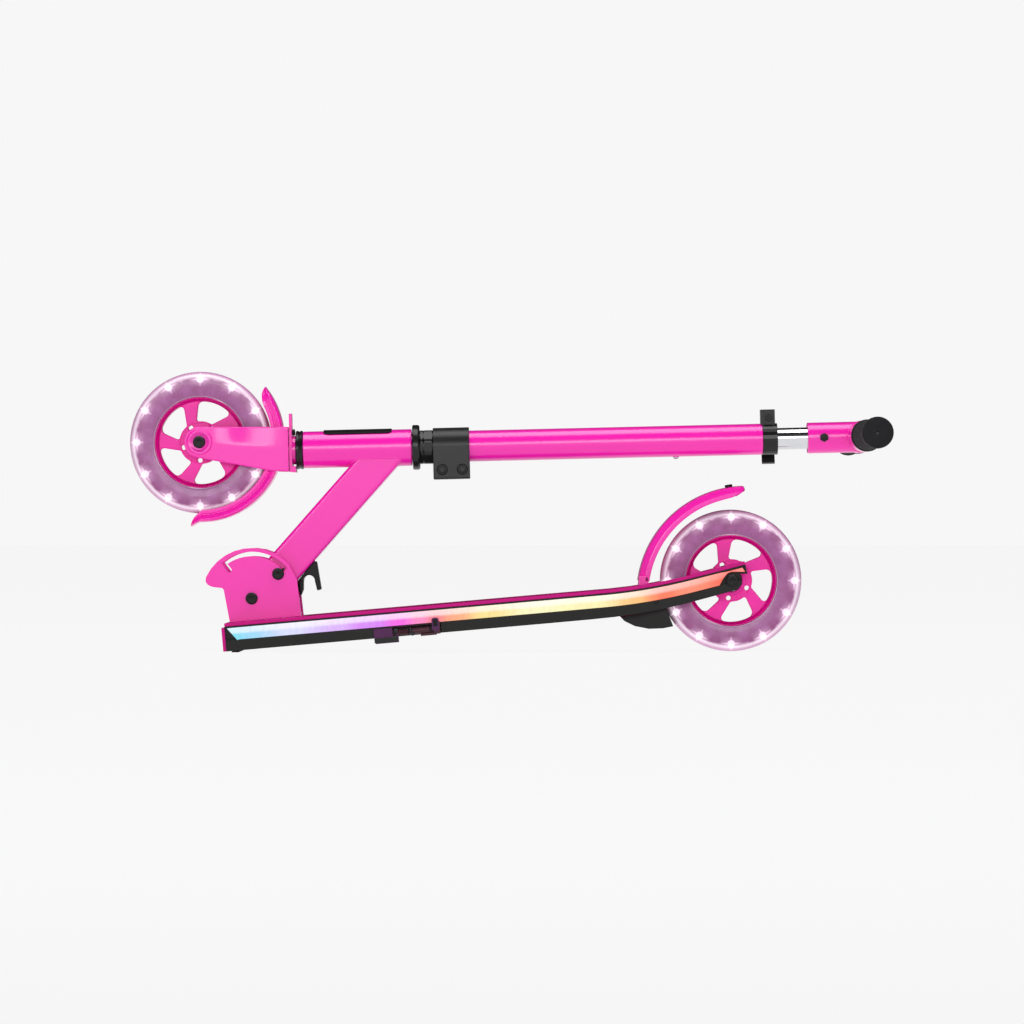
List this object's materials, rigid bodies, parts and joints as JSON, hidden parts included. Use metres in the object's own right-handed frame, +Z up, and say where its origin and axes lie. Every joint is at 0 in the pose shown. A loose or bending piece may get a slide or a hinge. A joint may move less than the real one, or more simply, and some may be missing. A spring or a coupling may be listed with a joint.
{
  "type": "kick scooter",
  "caption": "Folded kick scooter with a foot-operated fender brake, folding neck, telescoping handlebar, lit wheels and light strips along the deck.",
  "frame": {"origin": "centre of the whole scooter's box in plan, on the floor that the folded scooter stands on", "axes": "+X from the front wheel to the folded handlebar, +Y from the kickstand side to the other side, +Z up; the scooter is folded"},
  "size_m": [0.7664, 0.334, 0.2861],
  "materials": {
    "deck_pink": "satin pink paint on an aluminium deck",
    "frame_pink": "glossy pink paint on steel",
    "wheel_pink": "glossy pink moulding",
    "black_plastic": "fine satin black",
    "black_alloy": "satin black cast alloy",
    "black_metal": "satin black paint on steel",
    "dark_steel": "black oxide",
    "bare_steel": "zinc plated",
    "chrome_tube": "mirror chrome",
    "clear_tyre": "translucent mauve moulded tyre",
    "light_cover": "diffusing light cover, lit in many colours",
    "grip_foam": "matt black rubber",
    "grip_tape": "gritty black sheet",
    "black_rubber": "soft black rubber",
    "battery_wrap": "plain shrink wrap"
  },
  "bodies": {
    "deck": {"deck_platform": "deck_pink", "grip_tape": "grip_tape", "left_side_trim": "black_plastic", "right_side_trim": "black_plastic", "left_light_strip": "light_cover", "right_light_strip": "light_cover", "front_end_plate": "deck_pink", "deck_foot": "black_rubber", "fold_bracket": "frame_pink", "fold_pivot_bolt": "dark_steel", "battery_box": "black_plastic", "battery_pack": "battery_wrap", "kickstand_bracket": "black_metal", "kickstand_spring": "bare_steel", "rear_axle": "dark_steel", "brake_pivot_pin": "dark_steel", "brake_spring": "bare_steel"},
    "power_button": {"power_button": "black_rubber"},
    "kickstand": {"kickstand_leg": "black_metal"},
    "rear_brake": {"rear_fender": "frame_pink", "brake_pad": "black_rubber", "brake_pad_bolt": "dark_steel"},
    "rear_wheel": {"rear_tyre": "clear_tyre", "rear_wheel_core": "wheel_pink", "rear_led_ring": "light_cover", "rear_bearing_left": "bare_steel", "rear_bearing_right": "bare_steel"},
    "neck": {"neck_frame": "frame_pink", "headset_lower_cup": "black_metal", "headset_upper_cup": "black_metal", "head_badge": "black_metal"},
    "lock_release": {"release_lever": "black_plastic", "lock_pin_left_head": "dark_steel", "lock_pin_right_head": "dark_steel"},
    "steering": {"fork": "frame_pink", "front_fender": "frame_pink", "fender_bracket": "frame_pink", "fender_bolt": "dark_steel", "headset_adjusting_nut": "black_metal", "headset_lock_nut": "black_metal", "stem_clamp": "black_alloy", "stem_clamp_bolt_1": "dark_steel", "stem_clamp_bolt_2": "dark_steel", "lower_bar": "frame_pink", "height_clamp": "black_alloy", "height_clamp_bolt": "dark_steel", "front_axle": "dark_steel"},
    "front_wheel": {"front_tyre": "clear_tyre", "front_wheel_core": "wheel_pink", "front_led_ring": "light_cover", "front_bearing_left": "bare_steel", "front_bearing_right": "bare_steel"},
    "snap_button": {"snap_button": "bare_steel"},
    "height_clamp_lever": {"height_clamp_lever": "black_plastic"},
    "handlebar": {"inner_bar": "chrome_tube", "t_joint": "frame_pink", "t_joint_bolt": "dark_steel", "crossbar": "chrome_tube", "left_grip": "grip_foam", "right_grip": "grip_foam"}
  },
  "joints": [
    {"name": "power_button_press", "type": "slide", "parent": "deck", "child": "power_button", "axis": [0, -1, 0], "range_m": [0, 0.0012], "stiffness_N_per_m": 900, "springref_m": -0.0008},
    {"name": "kickstand_swing", "type": "hinge", "parent": "deck", "child": "kickstand", "pos_m": [-0.1192, 0, 0.0187], "axis": [0, 1, 0], "range_deg": [0, 95]},
    {"name": "brake_press", "type": "hinge", "parent": "deck", "child": "rear_brake", "pos_m": [0.155, 0, 0.0504], "axis": [0, 1, 0], "range_deg": [0, 6], "stiffness_Nm_per_rad": 3, "springref_deg": -17.19},
    {"name": "rear_wheel_spin", "type": "hinge", "parent": "deck", "child": "rear_wheel", "pos_m": [0.2322, 0, 0.0725], "axis": [0, 1, 0], "continuous": true},
    {"name": "neck_fold", "type": "hinge", "parent": "deck", "child": "neck", "pos_m": [-0.2567, 0, 0.0544], "axis": [0, -1, 0], "range_deg": [0, 85.4]},
    {"name": "lock_pull", "type": "slide", "parent": "neck", "child": "lock_release", "axis": [0.7337, 0, 0.6794], "range_m": [0, 0.0086], "stiffness_N_per_m": 900, "springref_m": -0.006},
    {"name": "steering_turn", "type": "hinge", "parent": "neck", "child": "steering", "pos_m": [0, 0, 0.2109], "axis": [0.9997, 0, 0.0236], "continuous": true},
    {"name": "front_wheel_spin", "type": "hinge", "parent": "steering", "child": "front_wheel", "pos_m": [-0.31035, 0, 0.2136], "axis": [0, 1, 0], "continuous": true},
    {"name": "snap_button_press", "type": "slide", "parent": "steering", "child": "snap_button", "axis": [-0.0236, 0, 0.9997], "range_m": [0, 0.0022], "stiffness_N_per_m": 500, "springref_m": -0.002},
    {"name": "height_clamp_open", "type": "hinge", "parent": "steering", "child": "height_clamp_lever", "pos_m": [0.271, 0.0128, 0.2393], "axis": [0.9997, 0, 0.0236], "range_deg": [0, 120]},
    {"name": "handlebar_height", "type": "slide", "parent": "steering", "child": "handlebar", "axis": [0.9997, 0, 0.0236], "range_m": [0, 0.12]}
  ]
}
